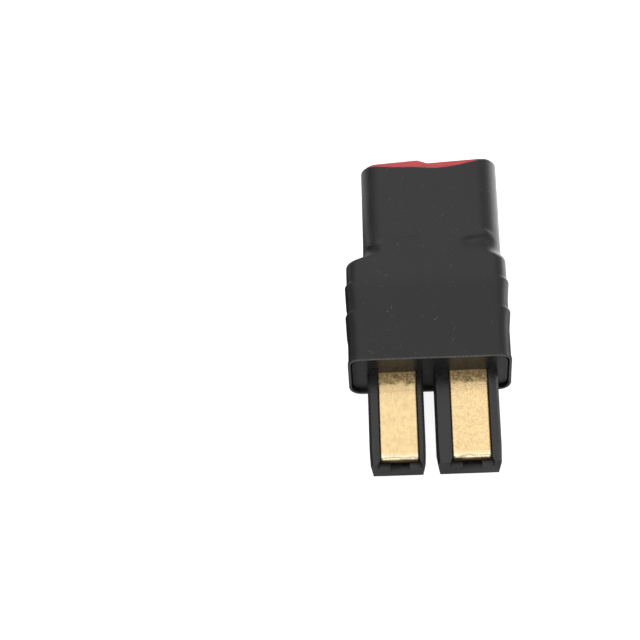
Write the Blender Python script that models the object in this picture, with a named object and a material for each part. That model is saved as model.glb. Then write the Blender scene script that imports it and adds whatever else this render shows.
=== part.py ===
"""Battery connector adapter: a blade plug and a T-slot socket soldered back to back in one sleeve.

The adapter lies flat. X runs across it, +Y points along it from the blade plug to the T-slot
socket, and Z is up. Lengths are in millimetres here and become metres when a mesh is made.
Stations along Y are counted from the plug's face plate, and one empty puts the finished adapter
with the middle of its length over the origin and its underside on Z = 0.
"""
import math

import bmesh
import bpy

MM = 0.001

# Fits between neighbouring pieces
SLEEVE_GAP = 0.1
CONTACT_GAP = 0.15
SOLDER_GAP = 0.1

# Shrink sleeve
SLEEVE_WALL = 0.3
SLEEVE_LIP = 0.15
SLEEVE_SHORT_OF_FACE = 0.4
SLEEVE_END_DIP = 0.4
SLEEVE_END_LIFT = 0.5
SLEEVE_END_LIFT_AT = 0.72
SLEEVE_END_LIFT_SPREAD = 0.3
SLEEVE_SAG = 0.25
SLEEVE_RIDGE_FALL = 0.9
SLEEVE_SHOULDER_REACH = 1.62
SLEEVE_SHOULDER_SHARPNESS = 6

# Plug housing
HOUSING_HEIGHT = 7.7
CORNER_RADIUS = 1.5
PLUG_WIDTH = 18.3
PLUG_LENGTH = 12.8
PLUG_CORNER = 0.6
RIDGE_FIRST = 6.2
RIDGE_PITCH = 3.95
RIDGE_COUNT = 2
RIDGE_PROUD = 0.22
RIDGE_RISE = 2.4
RIDGE_FALL = 0.35
POCKET_MARGIN = 0.35
POCKET_HEIGHT = 5.2
POCKET_DEPTH = 4.6

# Tray prongs
PRONG_LENGTH = 11.95
PRONG_BASE = 1.5
PRONG_HEIGHT = 3.18
PRONG_GAP = 1.23
PRONG_INSET = 1.74
PRONG_CHAMFER = 0.3
PRONG_TAPER_LENGTH = 2.2
PRONG_TAPER = 0.08
PRONG_END_DRAFT = 0.28
LEFT_OUTER_WALL = 1.17
LEFT_INNER_WALL = 0.73
RIGHT_INNER_WALL = 1.8
RIGHT_OUTER_WALL = 1.15
GROOVE_WIDTH = 2.25
GROOVE_DEPTH = 0.6
CHANNEL_FLARE = 0.25
CHANNEL_FLARE_LENGTH = 0.6

# Blade contacts
BLADE_WIDTH = 4.35
BLADE_THICKNESS = 1.0
BLADE_SETBACK = 0.7
BLADE_BELOW_WALL = 0.13
BLADE_TIP_CORNER = 0.3
BLADE_EDGE = 0.1
SHOULDER_STEP = 0.4
SHOULDER_LENGTH = 1.2
TAIL_STEP = 0.4
TAIL_REACH = 2.0

# T-slot socket
SOCKET_WIDTH = 15.7
SOCKET_LENGTH = 10.45
HOUSING_SPACING = 3.4
TOOTH_RISE = 0.45
TOOTH_PEAK_X = -1.35
TOOTH_VALLEY_X = -0.1
SOCKET_BACK_WALL = 2.0
SOCKET_CORNER = 0.8

# Socket contacts and their springs
BAR_WIDTH = 5.6
BAR_THICKNESS = 1.0
BAR_RECESS = 0.8
BAR_TAIL_WIDTH = 2.6
BAR_TAIL_LAP = 1.8
FLAT_BAR_SHIFT = 0.62
FLAT_BAR_FROM_MIDDLE = 4.1
UPRIGHT_BAR_FROM_MIDDLE = 4.0
MATING_BLADE = 1.1
SPRING_WIDTH = 4.8
SPRING_THICKNESS = 0.25
SPRING_BOW = 0.5
SPRING_END_GAP = 0.4

# Solder joints
SOLDER_WALL = 0.35
SOLDER_BEFORE_TAIL = 0.8
SOLDER_TOP = 0.3
SOLDER_DRAFT = 0.6
SOLDER_LEVELS = (0.0, 0.5, 0.85, 1.0)

# Fineness of round stretches
CORNER_STEPS = 6
ARC_STEPS = 4
SHOULDER_STEPS = 16
END_STEPS = 10
BOW_STEPS = 12

# Sizes that follow from the ones above
SLEEVE_OFFSET = SLEEVE_GAP + SLEEVE_WALL
AXIS_HEIGHT = HOUSING_HEIGHT / 2 + SLEEVE_OFFSET
SOCKET_START = PLUG_LENGTH + HOUSING_SPACING
MATING_FACE = SOCKET_START + SOCKET_LENGTH
TIP_FACE = MATING_FACE + TOOTH_RISE
SLEEVE_END = MATING_FACE - SLEEVE_SHORT_OF_FACE
FACE_PLATE_Y = (PRONG_LENGTH - TIP_FACE) / 2
PRONG_TOP = PRONG_BASE + PRONG_HEIGHT
BLADE_TOP = PRONG_TOP - BLADE_BELOW_WALL
BLADE_BOTTOM = BLADE_TOP - BLADE_THICKNESS
CHANNEL_WIDTH = BLADE_WIDTH + 2 * CONTACT_GAP
LEFT_PRONG_WIDTH = LEFT_OUTER_WALL + CHANNEL_WIDTH + LEFT_INNER_WALL
RIGHT_PRONG_WIDTH = RIGHT_INNER_WALL + CHANNEL_WIDTH + RIGHT_OUTER_WALL
LEFT_PRONG_START = PRONG_INSET - PLUG_WIDTH / 2
RIGHT_PRONG_START = LEFT_PRONG_START + LEFT_PRONG_WIDTH + PRONG_GAP
LEFT_BLADE_X = LEFT_PRONG_START + LEFT_OUTER_WALL + CHANNEL_WIDTH / 2
RIGHT_BLADE_X = RIGHT_PRONG_START + RIGHT_INNER_WALL + CHANNEL_WIDTH / 2
POCKET_WIDTH = BLADE_WIDTH + 2 * (SHOULDER_STEP + POCKET_MARGIN)
POCKET_FLOOR = PLUG_LENGTH - POCKET_DEPTH
TAIL_END = PLUG_LENGTH + TAIL_REACH
FLAT_BAR_X = LEFT_BLADE_X + FLAT_BAR_SHIFT
SOCKET_X = FLAT_BAR_X + FLAT_BAR_FROM_MIDDLE
UPRIGHT_BAR_X = SOCKET_X + UPRIGHT_BAR_FROM_MIDDLE
BAR_TAIL_END = TAIL_END - BAR_TAIL_LAP
BAR_BOTTOM = BLADE_TOP + SOLDER_GAP
CAVITY_FLOOR = SOCKET_START + SOCKET_BACK_WALL
SPRING_ROOM = SPRING_BOW + SPRING_THICKNESS + CONTACT_GAP


def clear_scene():
    """Remove every object that the scene starts with."""
    for existing in list(bpy.data.objects):
        bpy.data.objects.remove(existing, do_unlink=True)


def material(name, colour, roughness, metallic=0.0):
    """Principled material with one colour, roughness and metallic value."""
    finish = bpy.data.materials.new(name)
    finish.use_nodes = True
    shader = finish.node_tree.nodes["Principled BSDF"]
    shader.inputs["Base Color"].default_value = (*colour, 1.0)
    shader.inputs["Roughness"].default_value = roughness
    shader.inputs["Metallic"].default_value = metallic
    return finish


def new_object(name, rings, joined_ends=False):
    """Closed body skinned over rings of points in millimetres, all with the same count.

    The first and last rings are capped, or joined to each other when joined_ends is set.
    """
    mesh = bpy.data.meshes.new(name)
    bm = bmesh.new()
    rows = [[bm.verts.new([value * MM for value in point]) for point in ring] for ring in rings]
    last = len(rows) if joined_ends else len(rows) - 1
    for index in range(last):
        near, far = rows[index], rows[(index + 1) % len(rows)]
        for corner in range(len(near)):
            after = (corner + 1) % len(near)
            bm.faces.new((near[corner], near[after], far[after], far[corner]))
    if not joined_ends:
        bm.faces.new(rows[0])
        bm.faces.new(rows[-1])
    bmesh.ops.recalc_face_normals(bm, faces=bm.faces)
    bm.to_mesh(mesh)
    bm.free()
    made = bpy.data.objects.new(name, mesh)
    bpy.context.scene.collection.objects.link(made)
    return made


def box(name, low, high):
    """Rectangular block between two corners."""
    rings = []
    for y in (low[1], high[1]):
        rings.append([(low[0], y, low[2]), (high[0], y, low[2]),
                      (high[0], y, high[2]), (low[0], y, high[2])])
    return new_object(name, rings)


def flat_plate(name, outline, bottom, top):
    """Plan outline of (x, y) points carried up from bottom to top."""
    return new_object(name, [[(x, y, z) for x, y in outline] for z in (bottom, top)])


def upright_plate(name, outline, left, right):
    """Side outline of (y, z) points carried across from left to right."""
    return new_object(name, [[(x, y, z) for y, z in outline] for x in (left, right)])


def cutter(made):
    """Turn an object into a guide that only cuts others."""
    made.hide_render = True
    made.display_type = "WIRE"
    return made


def boolean(target, tool, operation):
    """Add an exact Boolean of the tool to the target and keep the tool as a guide."""
    step = target.modifiers.new(tool.name, "BOOLEAN")
    step.operation = operation
    step.solver = "EXACT"
    step.object = cutter(tool)


def finish(made, surface, smooth_angle=35.0, edge=0.0):
    """Give a body its material, softened edges and smooth round stretches."""
    made.data.materials.append(surface)
    made.data.shade_smooth()
    made.data.set_sharp_from_angle(angle=math.radians(smooth_angle))
    if edge:
        bevel = made.modifiers.new("soft_edges", "BEVEL")
        bevel.width = edge * MM
        bevel.segments = 2
        bevel.limit_method = "ANGLE"
    return made


def rounded_section(y, x_mid, half_width, inset=0.0, drop=0.0):
    """Ring at station y about x_mid: a rectangle with round corners, set in by inset, sunk by drop."""
    radius = CORNER_RADIUS + SLEEVE_OFFSET - inset
    half_height = AXIS_HEIGHT - inset - drop
    ring = []
    for corner, (side, rise) in enumerate(((1, 1), (-1, 1), (-1, -1), (1, -1))):
        for step in range(CORNER_STEPS + 1):
            angle = math.radians(90 * (corner + step / CORNER_STEPS))
            x = x_mid + side * (half_width - radius) + radius * math.cos(angle)
            z = rise * (half_height - radius) + radius * math.sin(angle)
            ring.append((x, y, AXIS_HEIGHT + z))
    return ring


def ridge_stations(fall):
    """Stations along the grip ridges: (y, height over the side), the steep flank towards the socket."""
    stations = []
    for index in range(RIDGE_COUNT):
        peak = RIDGE_FIRST + index * RIDGE_PITCH
        stations += [(peak - RIDGE_RISE, 0.0), (peak, RIDGE_PROUD), (peak + fall, 0.0)]
    return stations


def rear_corner():
    """Arc round the plug housing's rear corner in plan, as (y, half width) points."""
    centre_x = PLUG_WIDTH / 2 - PLUG_CORNER
    centre_y = PLUG_LENGTH - PLUG_CORNER
    arc = []
    for step in range(ARC_STEPS + 1):
        angle = math.radians(90.0 * step / ARC_STEPS)
        arc.append((centre_y + PLUG_CORNER * math.sin(angle), centre_x + PLUG_CORNER * math.cos(angle)))
    return arc


def sleeve_profile():
    """Stations of the sleeve from the mouth to the neck: y, middle, outer half width and sag.

    The sleeve follows the grip ridges and then falls from the body's width to the neck's as
    1 / (1 + (t / reach) ** sharpness), t being counted from the start of the plug's rear corner.
    Over the hollow between the housings it sinks by a squared half sine.
    """
    half_body = PLUG_WIDTH / 2 + SLEEVE_OFFSET
    half_neck = SOCKET_WIDTH / 2 + SLEEVE_OFFSET
    profile = [(-SLEEVE_LIP, 0.0, half_body, 0.0)]
    profile += [(y, 0.0, half_body + proud, 0.0) for y, proud in ridge_stations(SLEEVE_RIDGE_FALL)]
    start = PLUG_LENGTH - PLUG_CORNER
    for step in range(SHOULDER_STEPS + 1):
        share = step / SHOULDER_STEPS
        travel = (SOCKET_START - start) * share
        fall = 1 / (1 + (travel / SLEEVE_SHOULDER_REACH) ** SLEEVE_SHOULDER_SHARPNESS)
        hollow = max(start + travel - PLUG_LENGTH, 0.0) / HOUSING_SPACING
        sag = SLEEVE_SAG * math.sin(math.pi * hollow) ** 2
        half = half_neck + (half_body - half_neck) * fall
        profile.append((start + travel, SOCKET_X * (1 - fall), half, sag))
    for step in range(1, END_STEPS + 1):
        share = step / END_STEPS
        y = SOCKET_START + (SLEEVE_END - SOCKET_START) * share
        profile.append((y, SOCKET_X, half_neck, 0.0))
    return profile


def wave_end(ring):
    """Far rim of the sleeve: dips towards the plug in the middle and reaches on at the right."""
    half_neck = SOCKET_WIDTH / 2 + SLEEVE_OFFSET
    waved = []
    for x, y, z in ring:
        share = (x - SOCKET_X) / half_neck
        dip = SLEEVE_END_DIP * (1 - share * share)
        off_crest = (share - SLEEVE_END_LIFT_AT) / SLEEVE_END_LIFT_SPREAD
        waved.append((x, y - dip + SLEEVE_END_LIFT * math.exp(-off_crest * off_crest), z))
    return waved


def make_sleeve(surface):
    """Shrink sleeve: an open tube with an outer and an inner skin, closed at both rims."""
    profile = sleeve_profile()
    outer = [rounded_section(y, x_mid, half, 0.0, sag) for y, x_mid, half, sag in profile]
    inner = [rounded_section(y, x_mid, half - SLEEVE_WALL, SLEEVE_WALL, sag)
             for y, x_mid, half, sag in profile]
    outer[-1] = wave_end(outer[-1])
    inner[-1] = wave_end(inner[-1])
    sleeve = new_object("heat_shrink_sleeve", outer + inner[::-1], joined_ends=True)
    return finish(sleeve, surface)


def prong_section(y, x_mid, width, narrower, draft):
    """Ring of one prong: a bar with chamfered upper edges, drawn in by narrower and by draft below."""
    half = width / 2 - narrower
    foot = half - draft
    brow = half - PRONG_CHAMFER
    shoulder = PRONG_TOP - PRONG_CHAMFER
    across = ((-foot, PRONG_BASE), (foot, PRONG_BASE), (half, shoulder), (brow, PRONG_TOP),
              (-brow, PRONG_TOP), (-half, shoulder))
    return [(x_mid + x, y, z) for x, z in across]


def make_prong(name, x_mid, width):
    """Solid bar of one prong, rooted in the face plate and tapered at its tip."""
    taper_start = PRONG_TAPER_LENGTH - PRONG_LENGTH
    rings = [prong_section(PLUG_CORNER, x_mid, width, 0.0, 0.0),
             prong_section(taper_start, x_mid, width, 0.0, 0.0),
             prong_section(-PRONG_LENGTH, x_mid, width, PRONG_TAPER, PRONG_END_DRAFT)]
    return new_object(name, rings)


def channel_section(y, x_mid, flare):
    """Ring of a prong's channel: the blade's bed with a groove along its middle."""
    half = CHANNEL_WIDTH / 2 + flare
    groove = GROOVE_WIDTH / 2
    bed = BLADE_BOTTOM - CONTACT_GAP
    above = PRONG_TOP + PRONG_HEIGHT
    across = ((-groove, bed - GROOVE_DEPTH), (groove, bed - GROOVE_DEPTH), (groove, bed), (half, bed),
              (half, above), (-half, above), (-half, bed), (-groove, bed))
    return [(x_mid + x, y, z) for x, z in across]


def make_channel(name, x_mid):
    """Cutter of one channel, open at the prong's tip where its walls flare."""
    beyond = -PRONG_LENGTH - CHANNEL_FLARE_LENGTH
    rings = [channel_section(0.0, x_mid, 0.0),
             channel_section(CHANNEL_FLARE_LENGTH - PRONG_LENGTH, x_mid, 0.0),
             channel_section(beyond, x_mid, 2 * CHANNEL_FLARE)]
    return new_object(name, rings)


def make_plug_housing(surface):
    """Black plug block with grip ridges, two tray prongs, blade slots and rear solder pockets."""
    half_plug = PLUG_WIDTH / 2
    stations = [(0.0, half_plug)]
    stations += [(y, half_plug + proud) for y, proud in ridge_stations(RIDGE_FALL)]
    stations += rear_corner()
    rings = [rounded_section(y, 0.0, half, SLEEVE_OFFSET) for y, half in stations]
    housing = new_object("plug_housing", rings)
    prongs = (("left", LEFT_PRONG_START, LEFT_PRONG_WIDTH), ("right", RIGHT_PRONG_START, RIGHT_PRONG_WIDTH))
    for side, start, width in prongs:
        boolean(housing, make_prong(side + "_prong", start + width / 2, width), "UNION")
    for side, x_mid in (("left", LEFT_BLADE_X), ("right", RIGHT_BLADE_X)):
        boolean(housing, make_channel(side + "_channel", x_mid), "DIFFERENCE")
        half_slot = CHANNEL_WIDTH / 2
        slot = box(side + "_slot", (x_mid - half_slot, -CONTACT_GAP, BLADE_BOTTOM - CONTACT_GAP),
                   (x_mid + half_slot, PLUG_LENGTH, BLADE_TOP + CONTACT_GAP))
        boolean(housing, slot, "DIFFERENCE")
        half_pocket = POCKET_WIDTH / 2
        pocket = box(side + "_pocket", (x_mid - half_pocket, POCKET_FLOOR, AXIS_HEIGHT - POCKET_HEIGHT / 2),
                     (x_mid + half_pocket, PLUG_LENGTH + PLUG_CORNER, AXIS_HEIGHT + POCKET_HEIGHT / 2))
        boolean(housing, pocket, "DIFFERENCE")
    return finish(housing, surface)


def make_blade(name, x_mid, surface):
    """Blade contact: exposed blade, a shoulder that seats on the pocket floor, and a solder tail."""
    tip = BLADE_SETBACK - PRONG_LENGTH
    shoulder = POCKET_FLOOR + CONTACT_GAP
    neck = shoulder + SHOULDER_LENGTH
    half_blade = BLADE_WIDTH / 2
    half_shoulder, half_tail = half_blade + SHOULDER_STEP, half_blade - TAIL_STEP
    right_side = ((half_blade - BLADE_TIP_CORNER, tip), (half_blade, tip + BLADE_TIP_CORNER),
                  (half_blade, shoulder), (half_shoulder, shoulder), (half_shoulder, neck),
                  (half_tail, neck), (half_tail, TAIL_END))
    outline = [(x_mid + x, y) for x, y in right_side] + [(x_mid - x, y) for x, y in right_side[::-1]]
    blade = flat_plate(name, outline, BLADE_BOTTOM, BLADE_TOP)
    return finish(blade, surface, edge=BLADE_EDGE)


def make_socket_housing(surface):
    """Red socket block: toothed mating face, one flat and one upright cavity, a slit for each tail."""
    half = SOCKET_WIDTH / 2
    stations = ((SOCKET_START, half - SOCKET_CORNER), (SOCKET_START + SOCKET_CORNER, half),
                (TIP_FACE + TOOTH_RISE, half))
    rings = [rounded_section(y, SOCKET_X, reach, SLEEVE_OFFSET) for y, reach in stations]
    housing = new_object("socket_housing", rings)
    beyond = TIP_FACE + 2 * TOOTH_RISE
    profile = ((-half, MATING_FACE), (TOOTH_PEAK_X, TIP_FACE), (TOOTH_VALLEY_X, MATING_FACE),
               (half, TIP_FACE), (half + TOOTH_RISE, TIP_FACE), (half + TOOTH_RISE, beyond),
               (-half - TOOTH_RISE, beyond), (-half - TOOTH_RISE, MATING_FACE))
    teeth = [(SOCKET_X + x, y) for x, y in profile]
    above = AXIS_HEIGHT + HOUSING_HEIGHT
    boolean(housing, flat_plate("mating_face", teeth, -HOUSING_HEIGHT, above), "DIFFERENCE")
    flat_low, flat_high = flat_cavity()
    boolean(housing, box("flat_cavity", flat_low, flat_high), "DIFFERENCE")
    upright_low, upright_high = upright_cavity()
    boolean(housing, box("upright_cavity", upright_low, upright_high), "DIFFERENCE")
    for name, (low, high) in (("flat_slit", flat_tail()), ("upright_slit", upright_tail())):
        grown_low = [value - CONTACT_GAP for value in low]
        grown_high = [value + CONTACT_GAP for value in high]
        boolean(housing, box(name, grown_low, grown_high), "DIFFERENCE")
    return finish(housing, surface)


def flat_cavity():
    """Corners of the flat arm of the T: spring room, mating blade and contact bar, from the bottom up."""
    half = BAR_WIDTH / 2 + CONTACT_GAP
    bottom = BAR_BOTTOM - MATING_BLADE - SPRING_ROOM
    low = (FLAT_BAR_X - half, CAVITY_FLOOR, bottom)
    return low, (FLAT_BAR_X + half, TIP_FACE + TOOTH_RISE, BAR_BOTTOM + BAR_THICKNESS + CONTACT_GAP)


def upright_cavity():
    """Corners of the upright arm: spring room, mating blade and contact bar, from left to right."""
    half = BAR_WIDTH / 2 + CONTACT_GAP
    left = UPRIGHT_BAR_X - BAR_THICKNESS / 2 - MATING_BLADE - SPRING_ROOM
    right = UPRIGHT_BAR_X + BAR_THICKNESS / 2 + CONTACT_GAP
    return (left, CAVITY_FLOOR, AXIS_HEIGHT - half), (right, TIP_FACE + TOOTH_RISE, AXIS_HEIGHT + half)


def flat_tail():
    """Corners of the flat bar's tail, from its solder end to the cavity."""
    half = BAR_TAIL_WIDTH / 2
    low = (FLAT_BAR_X - half, BAR_TAIL_END, BAR_BOTTOM)
    return low, (FLAT_BAR_X + half, CAVITY_FLOOR, BAR_BOTTOM + BAR_THICKNESS)


def upright_tail():
    """Corners of the upright bar's tail, which stands on edge on the blade's tail."""
    half = BAR_THICKNESS / 2
    low = (UPRIGHT_BAR_X - half, BAR_TAIL_END, BAR_BOTTOM)
    return low, (UPRIGHT_BAR_X + half, CAVITY_FLOOR, BAR_BOTTOM + BAR_TAIL_WIDTH / 2)


def make_flat_contact(surface):
    """Contact bar of the flat arm, with its narrower tail."""
    half_bar, half_tail = BAR_WIDTH / 2, BAR_TAIL_WIDTH / 2
    shoulder = CAVITY_FLOOR + CONTACT_GAP
    tip = MATING_FACE - BAR_RECESS
    right_side = ((half_tail, BAR_TAIL_END), (half_tail, shoulder), (half_bar, shoulder), (half_bar, tip))
    outline = [(FLAT_BAR_X + x, y) for x, y in right_side]
    outline += [(FLAT_BAR_X - x, y) for x, y in right_side[::-1]]
    contact = flat_plate("socket_contact_flat", outline, BAR_BOTTOM, BAR_BOTTOM + BAR_THICKNESS)
    return finish(contact, surface, edge=BLADE_EDGE)


def make_upright_contact(surface):
    """Contact bar of the upright arm, with a tail at the height of the blade's tail."""
    low, high = upright_tail()
    shoulder = CAVITY_FLOOR + CONTACT_GAP
    tip = MATING_FACE - BAR_RECESS
    bottom, top = AXIS_HEIGHT - BAR_WIDTH / 2, AXIS_HEIGHT + BAR_WIDTH / 2
    outline = ((BAR_TAIL_END, low[2]), (shoulder, low[2]), (shoulder, bottom), (tip, bottom), (tip, top),
               (shoulder, top), (shoulder, high[2]), (BAR_TAIL_END, high[2]))
    contact = upright_plate("socket_contact_upright", outline, low[0], high[0])
    return finish(contact, surface, edge=BLADE_EDGE)


def bowed_strip(start, end, base):
    """Side outline of a leaf spring: a half sine bow from start to end over base, one thickness deep."""
    crest, under = [], []
    for step in range(BOW_STEPS + 1):
        share = step / BOW_STEPS
        along = start + (end - start) * share
        rise = base + SPRING_BOW * math.sin(math.pi * share)
        under.append((along, rise))
        crest.append((along, rise + SPRING_THICKNESS))
    return under + crest[::-1]


def make_springs(surface):
    """Leaf springs on the floor of the flat arm and on the inner wall of the upright arm."""
    start = CAVITY_FLOOR + SPRING_END_GAP
    end = MATING_FACE - BAR_RECESS - SPRING_END_GAP
    half = SPRING_WIDTH / 2
    (_, _, floor), _ = flat_cavity()
    outline = bowed_strip(start, end, floor + CONTACT_GAP / 2)
    flat = upright_plate("contact_spring_flat", outline, FLAT_BAR_X - half, FLAT_BAR_X + half)
    (wall, _, _), _ = upright_cavity()
    turned = [(x, y) for y, x in bowed_strip(start, end, wall + CONTACT_GAP / 2)]
    upright = flat_plate("contact_spring_upright", turned, AXIS_HEIGHT - half, AXIS_HEIGHT + half)
    return [finish(flat, surface), finish(upright, surface)]


def make_solder(name, tail, surface):
    """Solder mound on a blade's tail, wrapped round the end of a socket bar's tail."""
    (left, start, bottom), (right, _, top) = tail
    before, behind = start - SOLDER_BEFORE_TAIL, TAIL_END - SOLDER_GAP
    base_left = left - SOLDER_GAP - SOLDER_WALL
    base_right = right + SOLDER_GAP + SOLDER_WALL
    crown = top + SOLDER_GAP + SOLDER_TOP
    rings = []
    for share in SOLDER_LEVELS:
        draw = SOLDER_DRAFT * share ** 3 * SOLDER_WALL
        corner = SOLDER_WALL
        half = ((base_left + draw, behind), (base_left + draw, before + corner + draw),
                (base_left + corner + draw, before + draw))
        mirrored = [(base_left + base_right - x, y) for x, y in half[::-1]]
        z = bottom + (crown - bottom) * share
        rings.append([(x, y, z) for x, y in (*half, *mirrored)])
    mound = new_object(name, rings)
    grown_low = (left - SOLDER_GAP, start - SOLDER_GAP, bottom - SOLDER_GAP)
    grown_high = (right + SOLDER_GAP, SOCKET_START, top + SOLDER_GAP)
    boolean(mound, box(name + "_room", grown_low, grown_high), "DIFFERENCE")
    return finish(mound, surface)


def main():
    """Make every piece and hang all of them on one empty at the face plate."""
    clear_scene()
    black_shrink = material("black_shrink", (0.048, 0.048, 0.05), 0.5)
    black_nylon = material("black_nylon", (0.022, 0.022, 0.024), 0.35)
    red_nylon = material("red_nylon", (0.55, 0.05, 0.06), 0.4)
    gold = material("gold_plate", (0.83, 0.62, 0.30), 0.32, 1.0)
    spring_steel = material("spring_steel", (0.6, 0.6, 0.62), 0.3, 1.0)
    solder = material("solder", (0.62, 0.63, 0.64), 0.35, 1.0)
    pieces = [make_sleeve(black_shrink), make_plug_housing(black_nylon),
              make_blade("blade_contact_left", LEFT_BLADE_X, gold),
              make_blade("blade_contact_right", RIGHT_BLADE_X, gold),
              make_socket_housing(red_nylon), make_flat_contact(gold), make_upright_contact(gold)]
    pieces += make_springs(spring_steel)
    pieces.append(make_solder("solder_joint_left", flat_tail(), solder))
    pieces.append(make_solder("solder_joint_right", upright_tail(), solder))
    frame = bpy.data.objects.new("face_plate_station", None)
    bpy.context.scene.collection.objects.link(frame)
    frame.location = (0.0, FACE_PLATE_Y * MM, 0.0)
    for made in list(bpy.context.scene.collection.objects):
        if made is not frame:
            made.parent = frame


main()
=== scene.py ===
"""Dressed scene of a battery connector adapter: blade plug and T-slot socket in one shrink sleeve.

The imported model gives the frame. The adapter lies flat, X across it, +Y from the plug to the
socket and Z up. Shapes are worked out here in millimetres and become metres in the mesh. Finishes
read the piece's own coordinates, so their places are in metres and their pattern scales count
cells in a metre.
"""

import logging
import math
from dataclasses import dataclass, field
from enum import Enum
from typing import Any

import bmesh
import bpy
import numpy as np
from mathutils import Matrix, Vector

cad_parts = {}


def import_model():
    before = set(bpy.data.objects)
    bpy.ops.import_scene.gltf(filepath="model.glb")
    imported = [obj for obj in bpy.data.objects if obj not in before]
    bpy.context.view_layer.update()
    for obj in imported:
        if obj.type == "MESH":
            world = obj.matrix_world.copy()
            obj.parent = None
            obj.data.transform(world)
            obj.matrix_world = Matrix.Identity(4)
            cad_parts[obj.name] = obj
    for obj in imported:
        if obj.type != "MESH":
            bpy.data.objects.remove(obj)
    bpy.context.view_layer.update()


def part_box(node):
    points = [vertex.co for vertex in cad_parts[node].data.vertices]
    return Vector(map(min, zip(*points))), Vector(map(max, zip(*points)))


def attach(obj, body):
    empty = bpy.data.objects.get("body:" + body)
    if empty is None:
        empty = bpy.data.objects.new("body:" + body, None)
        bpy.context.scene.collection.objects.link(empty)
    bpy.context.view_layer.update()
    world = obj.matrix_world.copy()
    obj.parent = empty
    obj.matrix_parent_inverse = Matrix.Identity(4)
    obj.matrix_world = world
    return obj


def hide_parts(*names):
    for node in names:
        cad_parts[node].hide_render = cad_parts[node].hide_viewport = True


MM = 0.001
BODY = "root"
LOG = logging.getLogger("adapter")

Array = np.ndarray
Colour = tuple[float, float, float]
Point = tuple[float, float, float]
Span = tuple[float, float]
Inputs = dict[str | int, Any]
Material = bpy.types.Material
Piece = bpy.types.Object
Socket = bpy.types.NodeSocket
Tree = bpy.types.NodeTree

GRAIN_SPAN: Span = (0.3, 0.7)
"""Values between which most of the grain group's output lies."""

MIX_INPUTS = (0, 6, 7)
MIX_RESULT = 2
"""Places of the factor, the two colours and the result on a Mix node that is set to colours."""


class Slot(Enum):
    """Material slots of the record."""

    SHRINK = "black_shrink"
    BLACK_NYLON = "black_nylon"
    RED_NYLON = "red_nylon"
    GOLD = "gold_plate"
    STEEL = "spring_steel"
    SOLDER = "solder"


class Ends(Enum):
    """How the first and last rings of a loft are closed."""

    CAPPED = "capped"
    JOINED = "joined"


def box_mm(node: str) -> tuple[Array, Array]:
    """Lowest and highest corner of a CAD node in millimetres."""
    low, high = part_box(node)
    return np.array(low) / MM, np.array(high) / MM


def smooth_step(start: float, end: float, value: Array) -> Array:
    """Rise from 0 at start to 1 at end as 3t squared minus 2t cubed."""
    share = np.clip((value - start) / (end - start), 0.0, 1.0)
    return share * share * (3.0 - 2.0 * share)


def smooth_curve(points: tuple[Span, ...], value: Array) -> Array:
    """Cubic curve through points, each with its neighbours' mean slope; flat past the ends.

    Args:
        points: Pairs of a place and the height there, in rising order.
        value: Places at which the height is wanted.

    Returns:
        The heights.
    """
    at, height = np.array(points).T
    slope = np.gradient(height, at)
    i = np.clip(np.searchsorted(at, value) - 1, 0, len(at) - 2)
    gap = at[i + 1] - at[i]
    t = np.clip((value - at[i]) / gap, 0.0, 1.0)
    start = (1.0 + 2.0 * t) * (1.0 - t) ** 2 * height[i] + t * (1.0 - t) ** 2 * gap * slope[i]
    end = t * t * (3.0 - 2.0 * t) * height[i + 1] - t * t * (1.0 - t) * gap * slope[i + 1]
    return start + end


def round_off(distance: Array, radius: Array | float) -> Array:
    """Drop of a quarter circle at a distance d from its end: r - sqrt(r^2 - (r - d)^2)."""
    into = np.clip(radius - distance, 0.0, radius)
    return radius - np.sqrt(radius ** 2 - into ** 2)


def bell(value: Array, centre: float, spread: float) -> Array:
    """Gaussian bell: exp of minus the squared distance from centre over spread."""
    return np.exp(-((value - centre) / spread) ** 2)


@dataclass(frozen=True)
class Ripple:
    """Smooth uneven surface: a sum of sine waves with seeded directions and phases.

    reach is the longest wavelength in millimetres, and the shortest is a third of it.
    """

    seed: int
    terms: int
    reach: float

    def at(self, along: Array, across: Array) -> Array:
        """Height at places: the sum of the waves over the root of their number.

        Args:
            along: First coordinate in millimetres.
            across: Second coordinate in millimetres.

        Returns:
            Values of about -1 to 1.
        """
        chance = np.random.default_rng(self.seed)
        turn = chance.uniform(0.0, 2.0 * math.pi, self.terms)
        phase = chance.uniform(0.0, 2.0 * math.pi, self.terms)
        pitch = 2.0 * math.pi / chance.uniform(self.reach / 3.0, self.reach, self.terms)
        u, v = along[..., None], across[..., None]
        waves = np.sin((u * np.cos(turn) + v * np.sin(turn)) * pitch + phase)
        return waves.sum(axis=-1) / math.sqrt(self.terms)


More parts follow.
